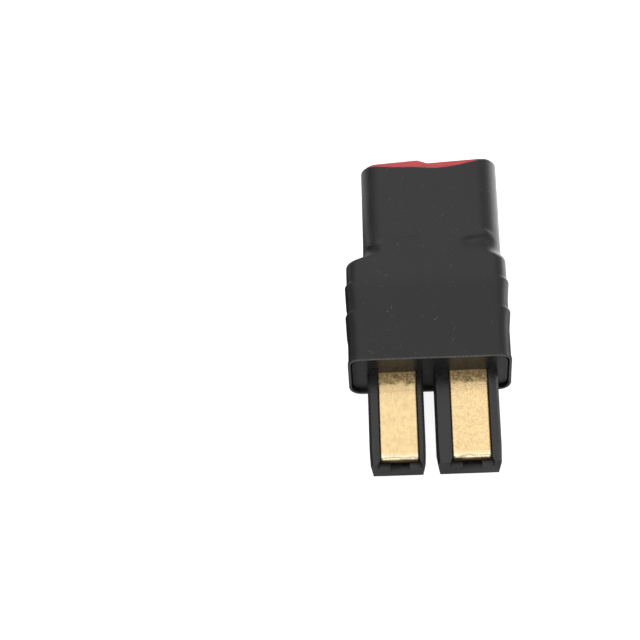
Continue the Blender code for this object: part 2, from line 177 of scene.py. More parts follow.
def rounded_ring(half_width: Array, half_height: Array | float, radius: Array,
                 around: int, corner_share: float = 0.4) -> tuple[Array, Array]:
    """Rounded rectangles about the origin, one for each entry of the sizes.

    A point is the centre of its corner's circle plus the radius times the outward direction. The
    direction turns by 90 degrees in each corner, and the centre slides along each side.

    Args:
        half_width: Half of each rectangle's width.
        half_height: Half of each rectangle's height, or of all.
        radius: Corner radius of each rectangle.
        around: Number of points in a ring.
        corner_share: Share of the points that lie on the four corners.

    Returns:
        Points and outward directions, both of shape (entries, around, 2).
    """
    corner = corner_share / 4.0
    side = (1.0 - corner_share) / 4.0
    breaks = np.cumsum([0.0, side / 2.0] + [corner, side] * 3 + [corner, side / 2.0])
    turns = np.array([0, 0, 90, 90, 180, 180, 270, 270, 360, 360], float)
    right = np.array([1, 1, 1, -1, -1, -1, -1, 1, 1, 1], float)
    upper = np.array([0, 1, 1, 1, 1, -1, -1, -1, -1, 0], float)
    at = (np.arange(around) + 0.5) / around
    angle = np.radians(np.interp(at, breaks, turns))
    out = np.stack([np.cos(angle), np.sin(angle)], axis=-1)
    centre_x = np.interp(at, breaks, right) * (half_width - radius)[:, None]
    centre_z = np.interp(at, breaks, upper) * (half_height - radius)[:, None]
    points = np.stack([centre_x, centre_z], axis=-1) + radius[:, None, None] * out
    return points, np.broadcast_to(out, points.shape)


def new_object(name: str, data: Any) -> Piece:
    """Put an object in the scene.

    Args:
        name: Name of the object.
        data: Its mesh, lamp or camera.

    Returns:
        The object, at the origin.
    """
    made = bpy.data.objects.new(name, data)
    bpy.context.scene.collection.objects.link(made)
    return made


def loft(name: str, rings: Array, ends: Ends) -> Piece:
    """Closed skin over rings of points, its faces turned outwards.

    The skin is turned round where the volume under its quads, a sum of triple products, is
    negative.

    Args:
        name: Name of the object.
        rings: Points in millimetres, of shape (rows, around, 3).
        ends: Whether the end rings are capped or joined to each other.

    Returns:
        The object, at the origin.
    """
    rows, around = rings.shape[:2]
    index = np.arange(rows * around).reshape(rows, around)
    near = index if ends is Ends.JOINED else index[:-1]
    far = np.roll(index, -1, axis=0)[:len(near)]
    quads = np.stack([near, np.roll(near, -1, axis=1), np.roll(far, -1, axis=1), far], axis=-1)
    quads = quads.reshape(-1, 4)
    points = rings.reshape(-1, 3)
    a, b, c, d = (points[quads[:, k]] - points.mean(axis=0) for k in range(4))
    volume = (a * np.cross(b, c)).sum() + (a * np.cross(c, d)).sum()
    caps = [index[0, ::-1], index[-1]] if ends is Ends.CAPPED else []
    order = 1 if volume > 0 else -1
    faces = quads[:, ::order].tolist() + [cap[::order].tolist() for cap in caps]
    mesh = bpy.data.meshes.new(name)
    mesh.from_pydata((points * MM).tolist(), [], faces)
    mesh.update()
    return new_object(name, mesh)


def point_values(made: Piece, name: str, values: Array) -> None:
    """Store one number for each vertex under a name that a material can read."""
    attribute = made.data.attributes.new(name, "FLOAT", "POINT")
    attribute.data.foreach_set("value", np.ascontiguousarray(values, np.float32).ravel())


def dress(made: Piece, finish: Material, sharp_degrees: float,
          stands_for: str) -> Piece:
    """Give a new piece its finish and shading and put it in place of a CAD node.

    Args:
        made: The piece.
        finish: Its material.
        sharp_degrees: Edges that fold by more than this stay sharp.
        stands_for: CAD node that the piece replaces.

    Returns:
        The same piece.
    """
    made.data.materials.clear()
    made.data.materials.append(finish)
    made.data.shade_smooth()
    made.data.set_sharp_from_angle(angle=math.radians(sharp_degrees))
    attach(made, BODY)
    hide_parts(stands_for)
    return made


def feed(tree: Tree, socket: Socket, value: Any) -> None:
    """Give an input its value.

    Args:
        tree: Tree that the input's node is in.
        socket: The input.
        value: A socket to link to it, or a plain value to set on it.
    """
    if isinstance(value, Socket):
        tree.links.new(value, socket)
    else:
        socket.default_value = value


def place(tree: Tree, kind: str, inputs: Inputs | None = None, **settings: Any) -> bpy.types.Node:
    """Put one node in a tree.

    Args:
        tree: Tree that gets the node.
        kind: Name of the node's type without the ShaderNode in front.
        inputs: For each input's name or number, a socket to link or a value to set.
        settings: Properties of the node itself.

    Returns:
        The node.
    """
    node = tree.nodes.new("ShaderNode" + kind)
    for name, value in settings.items():
        setattr(node, name, value)
    for key, value in (inputs or {}).items():
        feed(tree, node.inputs[key], value)
    return node


def math_node(tree: Tree, operation: str, *values: Any, clamp: bool = False) -> Socket:
    """Arithmetic on sockets or numbers; gives the result's socket."""
    node = place(tree, "Math", dict(enumerate(values)), operation=operation, use_clamp=clamp)
    return node.outputs[0]


def times(tree: Tree, first: Any, second: Any) -> Socket:
    """Product of two sockets or numbers; gives the result's socket."""
    return math_node(tree, "MULTIPLY", first, second)


def larger(tree: Tree, first: Any, second: Any) -> Socket:
    """Larger of two sockets or numbers; gives the result's socket."""
    return math_node(tree, "MAXIMUM", first, second)


def scaled(tree: Tree, colour: Colour, factor: Any) -> Socket:
    """Colour times a factor; gives the result's socket."""
    return place(tree, "VectorMath", {0: colour, "Scale": factor}, operation="SCALE").outputs[0]


def blend_colours(tree: Tree, factor: Any, first: Any, second: Any) -> Socket:
    """Mix two colours.

    Args:
        tree: Tree that gets the mix.
        factor: Share of the second colour, a socket or a number.
        first: Socket or colour.
        second: Socket or colour.

    Returns:
        The result's socket.
    """
    node = place(tree, "Mix", data_type="RGBA")
    for number, value in zip(MIX_INPUTS, (factor, first, second)):
        feed(tree, node.inputs[number], (*value, 1.0) if isinstance(value, tuple) else value)
    return node.outputs[MIX_RESULT]


def ramp(tree: Tree, value: Any, start: float, end: float, low: Any, high: Any) -> Socket:
    """Smooth rise of a value from low to high between start and end; gives the result's socket."""
    return place(tree, "MapRange", {0: value, 1: start, 2: end, 3: low, 4: high},
                 interpolation_type="SMOOTHSTEP").outputs[0]


def axes_of(tree: Tree, vector: Socket) -> Any:
    """Outputs X, Y and Z of a vector."""
    return place(tree, "SeparateXYZ", {0: vector}).outputs


def stored(tree: Tree, name: str) -> Socket:
    """Socket of the number that point_values stored under a name."""
    return place(tree, "Attribute", attribute_name=name).outputs["Fac"]


def new_group(name: str, inputs: Inputs, output: str) -> tuple[Tree, Any, bpy.types.Node]:
    """Start a shader node group that reads Vector, Scale and its own named inputs.

    Args:
        name: Name of the group.
        inputs: Each further input's name and default, a number or a vector.
        output: Name of its only output, a number.

    Returns:
        The group, its inputs as sockets and its output node.
    """
    group = bpy.data.node_groups.new(name, "ShaderNodeTree")
    for key, default in {"Vector": (0.0, 0.0, 0.0), "Scale": 1.0, **inputs}.items():
        kind = "NodeSocketVector" if isinstance(default, tuple) else "NodeSocketFloat"
        socket = group.interface.new_socket(key, in_out="INPUT", socket_type=kind)
        socket.default_value = default
    group.interface.new_socket(output, in_out="OUTPUT", socket_type="NodeSocketFloat")
    given = group.nodes.new("NodeGroupInput").outputs
    return group, given, group.nodes.new("NodeGroupOutput")


@dataclass
class Effects:
    """Node groups that several finishes share, built once."""

    speck_fade: float = 3.0
    scratch_turns: Span = (0.5, -1.1)
    scratch_shifts: Span = (0.0, 3.0)
    scratch_stretch: Point = (1.0, 0.16, 0.4)
    scratch_detail: float = 1.0
    scratch_gain: float = 12.0
    grain_detail: float = 3.0
    grain_roughness: float = 0.6
    groups: dict[str, Tree] = field(default_factory=dict)

    def build(self) -> "Effects":
        """Make the groups and return this object."""
        self.groups = {"specks": self.make_specks(), "scratches": self.make_scratches(),
                       "grain": self.make_grain()}
        return self

    def use(self, tree: Tree, where: Socket, name: str, scale: float, **values: Any) -> Socket:
        """Place a group in a material.

        Args:
            tree: The material's tree.
            where: Socket of the piece's own coordinates.
            name: Name of the group.
            scale: Number of its cells in a metre.
            values: Its other inputs' values.

        Returns:
            The socket of its only output.
        """
        node = tree.nodes.new("ShaderNodeGroup")
        node.node_tree = self.groups[name]
        for key, value in {"Vector": where, "Scale": scale, **values}.items():
            feed(tree, node.inputs[key], value)
        return node.outputs[0]

    def make_specks(self) -> Tree:
        """Group of small round specks.

        Cells of random points, and a speck at the point of each cell whose first random number is
        below Amount. It is as wide as Size times the cell's second one, and fades at its edge.

        Returns:
            The group.
        """
        group, given, end = new_group("specks", {"Amount": 0.2, "Size": 0.2}, "Mask")
        cells = place(group, "TexVoronoi", {"Vector": given["Vector"], "Scale": given["Scale"]})
        chance = place(group, "SeparateColor", {0: cells.outputs["Color"]}).outputs
        chosen = math_node(group, "LESS_THAN", chance[0], given["Amount"])
        width = times(group, chance[1], given["Size"])
        gap = math_node(group, "SUBTRACT", width, cells.outputs["Distance"])
        disc = math_node(group, "DIVIDE", gap, given["Size"])
        disc = math_node(group, "MULTIPLY", disc, self.speck_fade, clamp=True)
        group.links.new(times(group, disc, chosen), end.inputs["Mask"])
        return group

    def make_scratches(self) -> Tree:
        """Group of short fine scratches in two directions.

        Noise drawn out about six times along one direction shows only where it passes Threshold,
        and the stronger of two such layers is taken.

        Returns:
            The group.
        """
        group, given, end = new_group("scratches", {"Threshold": 0.7}, "Mask")
        layers = []
        for turn, shift in zip(self.scratch_turns, self.scratch_shifts):
            turned = place(group, "Mapping", {
                "Vector": given["Vector"], "Location": (shift,) * 3, "Rotation": (0.0, 0.0, turn)})
            drawn = place(group, "Mapping", {"Vector": turned.outputs[0],
                                             "Scale": self.scratch_stretch})
            noise = place(group, "TexNoise", {"Vector": drawn.outputs[0], "Scale": given["Scale"],
                                              "Detail": self.scratch_detail})
            over = math_node(group, "SUBTRACT", noise.outputs[0], given["Threshold"])
            layers.append(math_node(group, "MULTIPLY", over, self.scratch_gain, clamp=True))
        group.links.new(larger(group, *layers), end.inputs["Mask"])
        return group

    def make_grain(self) -> Tree:
        """Group of fine grain: noise with finer noise added to it, drawn out by Stretch.

        Returns:
            The group.
        """
        group, given, end = new_group("grain", {"Stretch": (1.0, 1.0, 1.0)}, "Height")
        drawn = place(group, "VectorMath", {0: given["Vector"], 1: given["Stretch"]},
                      operation="MULTIPLY")
        noise = place(group, "TexNoise", {"Vector": drawn.outputs[0], "Scale": given["Scale"],
                                          "Detail": self.grain_detail,
                                          "Roughness": self.grain_roughness})
        group.links.new(noise.outputs[0], end.inputs["Height"])
        return group


@dataclass(frozen=True)
class Rise:
    """Smooth rise from low to high while another value goes from start to end."""

    start: float
    end: float
    low: float = 0.0
    high: float = 1.0

    def of(self, tree: Tree, value: Socket, origin: float = 0.0, low: Any = None) -> Socket:
        """Put the rise in a tree.

        Args:
            tree: Tree that gets it.
            value: The value that it follows.
            origin: Place that its start and end count from.
            low: Socket that stands in for its own low, or None.

        Returns:
            The result's socket.
        """
        return ramp(tree, value, origin + self.start, origin + self.end,
                    self.low if low is None else low, self.high)


@dataclass(frozen=True)
class Specks:
    """Small round specks: cells in a metre, share of cells that hold one, size and strength."""

    scale: float
    amount: float
    size: float
    strength: float

    def of(self, effects: Effects, tree: Tree, where: Socket) -> Socket:
        """Put the specks in a tree; gives the socket of their mask."""
        mask = effects.use(tree, where, "specks", self.scale, Amount=self.amount, Size=self.size)
        return times(tree, mask, self.strength)


def start_material(name: str) -> tuple[Material, Tree, Any, Socket]:
    """Empty node material.

    Args:
        name: Name of the material.

    Returns:
        The material, its tree, its Principled shader's inputs and the socket of the piece's own
        coordinates.
    """
    made = bpy.data.materials.new(name)
    made.use_nodes = True
    tree = made.node_tree
    where = place(tree, "TexCoord").outputs["Object"]
    return made, tree, tree.nodes["Principled BSDF"].inputs, where


def raise_surface(tree: Tree, shader: Any, height: Socket, metres: float, strength: float) -> None:
    """Bump the shader's normal by a height, where 1 stands for a number of metres."""
    bump = place(tree, "Bump", {"Height": height, "Distance": metres, "Strength": strength})
    tree.links.new(bump.outputs[0], shader["Normal"])


@dataclass(frozen=True)
class Wear:
    """Specks and scratches on plastic, over its fine grain."""

    specks: tuple[Specks, ...]
    scratch_scale: float
    scratch_threshold: float
    scratch_share: float
    grain_scale: float
    grain_height: float
    scratch_height: float = 0.5
    relief: float = 0.35

    def build(self, effects: Effects, tree: Tree, shader: Any,
              where: Socket) -> tuple[Socket, Socket]:
        """Bump the surface and work out its pale marks.

        Args:
            effects: The shared node groups.
            tree: The material's tree.
            shader: Inputs of its shader.
            where: Socket of the piece's own coordinates.

        Returns:
            Sockets of the marks' mask and of the fine grain.
        """
        fine = effects.use(tree, where, "grain", self.grain_scale)
        scratches = effects.use(tree, where, "scratches", self.scratch_scale,
                                Threshold=self.scratch_threshold)
        marks = times(tree, scratches, self.scratch_share)
        for specks in self.specks:
            marks = larger(tree, marks, specks.of(effects, tree, where))
        raised = times(tree, scratches, self.scratch_height)
        raise_surface(tree, shader, math_node(tree, "ADD", fine, raised), self.grain_height,
                      self.relief)
        return marks, fine


@dataclass(frozen=True)
class ShrinkFinish:
    """Satin shrink tubing with dust, short scratches, a painted rim highlight, darker over the
    plug.
    """

    colour: Colour = (0.0122, 0.0122, 0.0124)
    # Pale of the real dust and scratches, also used for the painted highlight on the rims.
    pale: Colour = (0.20, 0.20, 0.195)
    cloud_scale: float = 260.0
    cloud_tone: Rise = Rise(*GRAIN_SPAN, 0.82, 1.18)
    tone_along: Rise = Rise(0.0010, 0.0050, 0.68, 1.0)
    roughness: float = 0.41
    unevenness: float = 0.03
    handled: Rise = Rise(0.0015, 0.0035, 0.05, 0.0)
    # Strength of the painted highlight on the rims, following the fine grain.
    rim_highlight: Rise = Rise(0.35, 0.62, 0.30, 0.80)
    wear: Wear = Wear(
        specks=(Specks(2100.0, 0.07, 0.20, 0.62), Specks(900.0, 0.13, 0.13, 0.62)),
        scratch_scale=5200.0, scratch_threshold=0.741, scratch_share=0.34, grain_scale=5200.0,
        grain_height=0.00002)

    def build(self, effects: Effects) -> Material:
        """Make the material.

        Args:
            effects: The shared node groups.

        Returns:
            The material.
        """
        made, tree, shader, where = start_material("shrink_tubing")
        cloud = effects.use(tree, where, "grain", self.cloud_scale)
        marks, fine = self.wear.build(effects, tree, shader, where)
        # Painted highlight along the sleeve's rims.
        rim = times(tree, stored(tree, "rim"), self.rim_highlight.of(tree, fine))
        along = axes_of(tree, where)["Y"]
        tone = times(tree, self.cloud_tone.of(tree, cloud), self.tone_along.of(tree, along))
        # Real dust and scratches and the painted rim highlight both mix in the pale colour.
        colour = blend_colours(tree, larger(tree, marks, rim), scaled(tree, self.colour, tone),
                               self.pale)
        feed(tree, shader["Base Color"], colour)
        rough = ramp(tree, cloud, *GRAIN_SPAN, self.roughness - self.unevenness,
                     self.roughness + self.unevenness)
        rough = math_node(tree, "ADD", rough, self.handled.of(tree, along))
        feed(tree, shader["Roughness"], rough)
        return made


@dataclass(frozen=True)
class NylonFinish:
    """Moulded nylon with a faint grain, specks and handling marks."""

    name: str
    colour: Colour
    worn: Colour
    roughness: float = 0.3
    smoother: float = 0.04
    rougher: float = 0.06
    gloss: float = 0.53
    mottling: float = 0.3
    mottle_span: Span = (0.36, 0.64)
    mottle_scale: float = 3400.0
    mottle_share: float = 0.7
    cloud_scale: float = 420.0
    cloud_share: float = 0.3
    wear: Wear = Wear(
        specks=(Specks(1500.0, 0.12, 0.18, 0.4),), scratch_scale=6000.0, scratch_threshold=0.72,
        scratch_share=0.35, grain_scale=7000.0, grain_height=0.00003)

    def build(self, effects: Effects) -> Material:
        """Make the material.

        Args:
            effects: The shared node groups.

        Returns:
            The material.
        """
        made, tree, shader, where = start_material(self.name)
        shader["Specular IOR Level"].default_value = self.gloss
        marks, _ = self.wear.build(effects, tree, shader, where)
        cloud = effects.use(tree, where, "grain", self.cloud_scale)
        mottle = effects.use(tree, where, "grain", self.mottle_scale)
        uneven = math_node(tree, "MULTIPLY_ADD", cloud, self.cloud_share,
                           times(tree, mottle, self.mottle_share))
        tone = ramp(tree, uneven, *self.mottle_span, 1.0 - self.mottling, 1.0 + self.mottling)
        colour = blend_colours(tree, marks, scaled(tree, self.colour, tone), self.worn)
        feed(tree, shader["Base Color"], colour)
        rough = ramp(tree, uneven, *self.mottle_span, self.roughness - self.smoother,
                     self.roughness + self.rougher)
        feed(tree, shader["Roughness"], rough)
        return made


@dataclass(frozen=True)
class RootBand:
    """Dull band at the root of a blade, just in front of the face plate, with mottled painted
    shade.

    Its rises along Y count in metres from the face plate. The plating is also shaded as if it rose
    towards the plate, which shortens the dark band that the blade mirrors there.
    """

    face_plate: float
    mottle_scale: float = 1300.0
    mottle_share: float = 0.6
    grit_scale: float = 4200.0
    waver: float = 0.0014
    dull: Rise = Rise(-0.0010, -0.0005)
    # Painted shade spots: how they fade right at the face plate, and their span over the mottle.
    plate_fade: Rise = Rise(-0.00022, -0.00010, 1.0, 0.20)
    shade_spots: Rise = Rise(0.64, 0.98, 0.05, 0.74)
    roughness: float = 0.52
    climb: Rise = Rise(-0.0024, 0.0, 0.0, 6.5)
    softening: Rise = Rise(-0.0026, -0.0014, 0.0, 0.12)

    def marks(self, effects: Effects, tree: Tree, where: Socket) -> tuple[Socket, Socket]:
        """Band with an uneven edge and the mottled spots of painted shade in it.

        Args:
            effects: The shared node groups.
            tree: The material's tree.
            where: Socket of the piece's own coordinates.

        Returns:
            Sockets of the band's mask and of the painted shade spots' mask.
        """
        along = axes_of(tree, where)["Y"]
        mottle = effects.use(tree, where, "grain", self.mottle_scale)
        grit = effects.use(tree, where, "grain", self.grit_scale)
        edge = math_node(tree, "MULTIPLY_ADD", mottle, self.waver, along)
        band = self.dull.of(tree, edge, self.face_plate)
        # Mottled spots of painted shade across the band.
        patches = math_node(tree, "MULTIPLY_ADD", mottle, self.mottle_share, grit)
        shade_spots = times(tree, self.plate_fade.of(tree, along, self.face_plate),
                      self.shade_spots.of(tree, patches))
        return band, times(tree, band, shade_spots)


@dataclass(frozen=True)
class MetalFinish:
    """Brushed metal; on the blades also painted shade at the root and edges, and a painted tip
    highlight.
    """

    name: str
    colour: Colour
    # Colour of the real pits, and on the blades of the painted shade too.
    stain_and_shade: Colour
    # Cream of the painted highlight at the blade tips.
    painted_highlight: Colour = (1.0, 0.90, 0.62)
    metallic: float = 1.0
    roughness: float = 0.3
    unevenness: float = 0.03
    brushing: Point = (1.0, 0.04, 1.0)
    brush_scale: float = 13000.0
    lined: float = 0.75
    grit: float = 11000.0
    streaks: float = 0.16
    cloud_scale: float = 1500.0
    cloud_tone: Rise = Rise(0.35, 0.65, 0.92, 1.08)
    grain_height: float = 0.00004
    relief: float = 0.15
    pits: float = 0.25
    pit_scale: float = 5200.0
    pit_size: float = 0.30
    pit_share: float = 0.30
    # Strength of the painted shade on the blades' end faces and side edges.
    edge_shade_share: float = 0.78
    root: RootBand | None = None

    def build(self, effects: Effects) -> Material:
        """Make the material.

        Args:
            effects: The shared node groups.

        Returns:
            The material.
        """
        made, tree, shader, where = start_material(self.name)
        shader["Metallic"].default_value = self.metallic
        brushed = effects.use(tree, where, "grain", self.brush_scale, Stretch=self.brushing)
        sparkle = effects.use(tree, where, "grain", self.grit)
        cloud = effects.use(tree, where, "grain", self.cloud_scale)
        pits = Specks(self.pit_scale, self.pits, self.pit_size, self.pit_share)
        stains_and_shade = pits.of(effects, tree, where)
        rough = ramp(tree, cloud, *GRAIN_SPAN, self.roughness - self.unevenness,
                     self.roughness + self.unevenness)
        mixed = math_node(tree, "ADD", times(tree, brushed, self.lined),
                          times(tree, sparkle, 1.0 - self.lined))
        height = mixed
        if self.root is not None:
            band, shade_spots = self.root.marks(effects, tree, where)
            # Painted shade on the blade's end face and along its side edges.
            edge_shade = times(tree, stored(tree, "edge_shade"), self.edge_shade_share)
            # The root's painted shade spots and the painted edge shade join the real pits.
            stains_and_shade = larger(tree, larger(tree, stains_and_shade, shade_spots), edge_shade)
            along, plate = axes_of(tree, where)["Y"], self.root.face_plate
            duller = self.root.roughness - self.roughness
            rough = math_node(tree, "MULTIPLY_ADD", band, duller, rough)
            rough = math_node(tree, "ADD", rough, self.root.softening.of(tree, along, plate))
            height = math_node(tree, "ADD", mixed, self.root.climb.of(tree, along, plate))
        tone = ramp(tree, mixed, *GRAIN_SPAN, 1.0 - self.streaks, 1.0 + self.streaks)
        tone = times(tree, tone, self.cloud_tone.of(tree, cloud))
        # Painted highlight along the tip's upper edge, at its corners and towards its end.
        base = blend_colours(tree, stored(tree, "tip_highlight"), scaled(tree, self.colour, tone),
                             self.painted_highlight)
        # Darker towards the stain colour at the real pits, and on the blades where shade is
        # painted.
        feed(tree, shader["Base Color"], blend_colours(tree, stains_and_shade, base, self.stain_and_shade))
        feed(tree, shader["Roughness"], rough)
        raise_surface(tree, shader, height, self.grain_height, self.relief)
        return made


@dataclass(frozen=True)
class Crease:
    """Fold in the sleeve's upper face: a groove with a raised lip on its far side.

    A negative depth with no lip makes a raised spot.
    """

    x: float
    y: float
    length: float
    near: float
    far: float
    depth: float
    lip: float
    turn_degrees: float
    bend: float = 0.0

    def height(self, x: Array, y: Array) -> Array:
        """Height over the plain skin.

        In the fold's own axes u along it and v across it, with v measured from a parabola of the
        given bend: minus depth times a bell in v that is near wide on the plug's side and far
        wide on the other, plus a lip two far widths on, all times a fourth power bell in u.

        Args:
            x: Places across the sleeve in millimetres.
            y: Places along it in millimetres, counted from the face plate.

        Returns:
            The heights.
        """
        turn = math.radians(self.turn_degrees)
        u = (x - self.x) * math.cos(turn) + (y - self.y) * math.sin(turn)
        v = (y - self.y) * math.cos(turn) - (x - self.x) * math.sin(turn)
        v = v - self.bend * (u / self.length) ** 2
        groove = np.exp(-(v / np.where(v < 0.0, self.near, self.far)) ** 2)
        fold = self.lip * bell(v, 2.0 * self.far, self.far) - groove
        return self.depth * fold * np.exp(-(u / self.length) ** 4)


@dataclass
class ShrinkSleeve:
    """Shrink sleeve: one tube with an outer skin, an inner skin and rounded rims.

    end_points is the far rim's reach along Y at shares of the neck's half width.
    """

    node: str = "heat_shrink_sleeve"
    socket_node: str = "socket_housing"
    wall: float = 0.38
    offset: float = 0.4
    body_corner: float = 1.6
    neck_corner: float = 2.7
    lip: float = 0.15
    lip_flare: float = 0.12
    lip_flare_spread: float = 0.5
    lip_below: float = 0.34
    lip_below_spread: float = 1.0
    ridge_proud: float = 0.22
    ridge_crests: Span = (6.2, 10.15)
    ridge_rise: float = 2.4
    ridge_power: float = 1.4
    ridge_fall: float = 0.55
    ridge_side: float = 1.3
    shoulder_start: float = 12.2
    shoulder_reach: float = 1.62
    shoulder_sharpness: float = 6.0
    sag: float = 0.05
    plug_length: float = 12.8
    hollow: float = 3.4
    end_short: float = 0.4
    end_fade: float = 4.0
    tooth: float = 0.45
    end_points: tuple[Span, ...] = (
        (-1.0, 0.50), (-0.90, 0.36), (-0.82, 0.17), (-0.72, 0.0), (-0.60, -0.11), (-0.44, -0.19),
        (-0.27, -0.23), (-0.07, -0.37), (0.06, -0.47), (0.23, -0.41), (0.40, -0.23),
        (0.565, 0.07), (0.70, 0.37), (0.80, 0.62), (0.90, 0.79), (1.0, 0.84))
    upper_face: Span = (0.35, 0.95)
    inner_calm: float = 0.85
    wave: Ripple = Ripple(4, 9, 15.0)
    wave_height: float = 0.018
    wave_sink: float = 1.2
    highest_fold: float = 0.14
    plug_rim_spread: float = 0.10
    far_rim_spread: float = 0.12
    # Strength of the painted highlight on the far rim; the near rim's is 1.
    far_rim_highlight: float = 0.5
    sharp_degrees: float = 60.0
    rows: int = 300
    inner_rows: int = 60
    rim_rows: int = 7
    around: int = 168
    creases: tuple[Crease, ...] = (
        Crease(6.2, 15.7, 1.8, 1.0, 0.40, 0.28, 0.7, 5.0, -0.3),
        Crease(-1.1, 16.1, 0.6, 0.5, 0.16, 0.06, 2.4, -4.0),
        Crease(-3.8, 16.05, 2.6, 0.5, 0.20, 0.055, 1.2, 2.0),
        Crease(-7.0, 16.5, 1.1, 0.8, 0.60, -0.05, 0.0, 20.0),
        Crease(-6.5, 14.9, 0.9, 0.6, 0.40, 0.20, 1.2, -8.0, 0.2),
        Crease(-3.3, 15.15, 0.5, 0.3, 0.12, 0.04, 1.2, -24.0))

    def __post_init__(self) -> None:
        """Take the places that the CAD nodes give."""
        low, high = box_mm(self.node)
        socket_low, socket_high = box_mm(self.socket_node)
        self.face_plate = low[1] + self.lip
        self.height = high[2] - low[2]
        self.half_body = high[0] - self.ridge_proud
        self.half_neck = (socket_high[0] - socket_low[0]) / 2.0 + self.offset
        self.neck_x = (socket_high[0] + socket_low[0]) / 2.0
        self.far_rim = socket_high[1] - self.end_short - self.tooth

    def ridge(self, station: Array) -> Array:
        """Grip ridges: each climbs as a power to its crest and drops off towards the socket.

        Args:
            station: Places along Y in millimetres, counted from the face plate.

        Returns:
            How far the sides stand out.
        """
        height = np.zeros_like(station)
        for crest in self.ridge_crests:
            climb = np.clip((station - crest) / self.ridge_rise + 1.0, 0.0, 1.0)
            drop = 1.0 - smooth_step(crest, crest + self.ridge_fall, station)
            height = height + self.ridge_proud * climb ** self.ridge_power * drop
        return height

    def shoulder(self, station: Array) -> Array:
        """Share of the body's extra width: 1 / (1 + (t / reach) to the power of sharpness)."""
        travel = np.clip(station - self.shoulder_start, 0.0, None) / self.shoulder_reach
        return 1.0 / (1.0 + travel ** self.shoulder_sharpness)

    def path(self) -> tuple[Array, Array]:
        """Closed path through the wall: outer skin, half circle, inner skin, half circle.

        Returns:
            Stations counted from the face plate, and how far each lies inside the outer skin.
        """
        half_wall = self.wall / 2.0
        first = half_wall - self.lip
        last = self.far_rim - self.face_plate - half_wall
        outer = np.linspace(first, last, self.rows)
        inner = np.linspace(last, first, self.inner_rows)
        turn = np.linspace(0.0, math.pi, self.rim_rows + 2)[1:-1]
        far_turn = last + half_wall * np.sin(turn)
        near_turn = first - half_wall * np.sin(turn)
        across = half_wall * (1.0 - np.cos(turn))
        station = np.concatenate([outer, far_turn, inner, near_turn])
        inset = np.concatenate([np.zeros(self.rows), across, np.full(self.inner_rows, self.wall),
                                self.wall - across])
        return station, inset

    def build(self, finish: Material) -> Piece:
        """Make the sleeve.

        A section is a rounded rectangle whose size goes from the neck's to the body's with the
        shoulder's share, sags over the hollow as the square of a half sine and flares at the lip
        as a bell. Ridges push its sides out, and creases and a faint ripple move its upper and
        lower faces. The far rim follows a curve along Y, and the lip's lower half comes forward.

        Args:
            finish: Material of the sleeve.

        Returns:
            The finished piece.
        """
        station, inset = self.path()
        share = self.shoulder(station)
        half = self.half_neck + (self.half_body - self.half_neck) * share
        corner = self.neck_corner + (self.body_corner - self.neck_corner) * share
        over_hollow = np.clip((station - self.plug_length) / self.hollow, 0.0, 1.0)
        sag = self.sag * np.sin(math.pi * over_hollow) ** 2
        flare = self.lip_flare * bell(station, -self.lip, self.lip_flare_spread)
        section, out = rounded_ring(half + flare - inset, self.height / 2.0 - inset - sag,
                                    corner - inset, self.around)
        x = section[..., 0] + (self.neck_x * (1.0 - share))[:, None]
        y = np.broadcast_to(station[:, None], x.shape)
        lift = sum(crease.height(x, y) for crease in self.creases)
        fold = np.minimum(lift, self.highest_fold) * smooth_step(*self.upper_face, out[..., 1])
        wave = self.wave_height * (self.wave.at(x, y) - self.wave_sink) * np.abs(out[..., 1])
        push = (fold + wave) * (1.0 - self.inner_calm * (inset / self.wall)[:, None])
        push = self.ridge(y) * np.abs(out[..., 0]) ** self.ridge_side + push
        x = x + push * out[..., 0]
        z = section[..., 1] + push * out[..., 1]
        length = self.far_rim - self.face_plate
        reach = smooth_curve(self.end_points, (x - self.neck_x) / self.half_neck)
        y = y + reach * smooth_step(length - self.end_fade, length, y)
        lip = bell(station, -self.lip, self.lip_below_spread)[:, None]
        y = y - self.lip_below * smooth_step(0.0, -self.height / 2.0, z) * lip
        z = np.clip(z + self.height / 2.0, 0.0, self.height)
        rings = np.stack([x, y + self.face_plate, z], axis=-1)
        made = loft("shrink_sleeve", rings, Ends.JOINED)
        # Painted highlight along the near and far rims, stored for the finish.
        far_rim = self.far_rim_highlight * bell(station, station.max(), self.far_rim_spread)
        rim = np.maximum(bell(station, station.min(), self.plug_rim_spread), far_rim)
        point_values(made, "rim", np.broadcast_to(rim[:, None], x.shape))
        return dress(made, finish, self.sharp_degrees, self.node)


